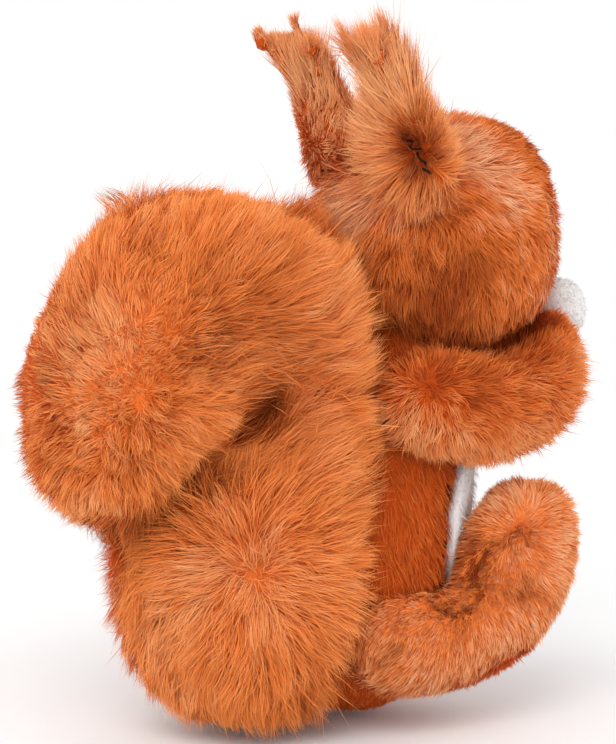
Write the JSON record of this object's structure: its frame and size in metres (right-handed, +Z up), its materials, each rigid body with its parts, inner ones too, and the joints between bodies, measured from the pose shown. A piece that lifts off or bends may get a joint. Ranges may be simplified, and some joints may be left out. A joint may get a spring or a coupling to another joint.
{
  "type": "plush squirrel",
  "caption": "Seated soft toy squirrel in long rust pile, with a tall bushy tail curled over at the top, tufted ears and a pale ball held to its mouth in both paws.",
  "frame": {"origin": "centre of the bounding box on the floor", "axes": "the face looks along -Y, +Z is up, the squirrel's right side is at -X"},
  "size_m": [0.1008, 0.208, 0.2194],
  "materials": {
    "rust_plush": "medium rust pile",
    "deep_rust_plush": "short dense dark rust pile",
    "tail_long_pile": "long loose light rust pile",
    "white_plush": "short white pile",
    "black_plastic": "polished bead"
  },
  "bodies": {
    "root": {"body": "deep_rust_plush", "belly_panel": "white_plush", "head": "rust_plush", "nose": "black_plastic", "eye_right": "black_plastic", "eye_left": "black_plastic", "ear_right": "rust_plush", "ear_left": "rust_plush", "arm_right": "deep_rust_plush", "arm_left": "deep_rust_plush", "held_ball": "white_plush", "leg_right": "rust_plush", "leg_left": "rust_plush", "tail": "tail_long_pile"}
  },
  "joints": []
}
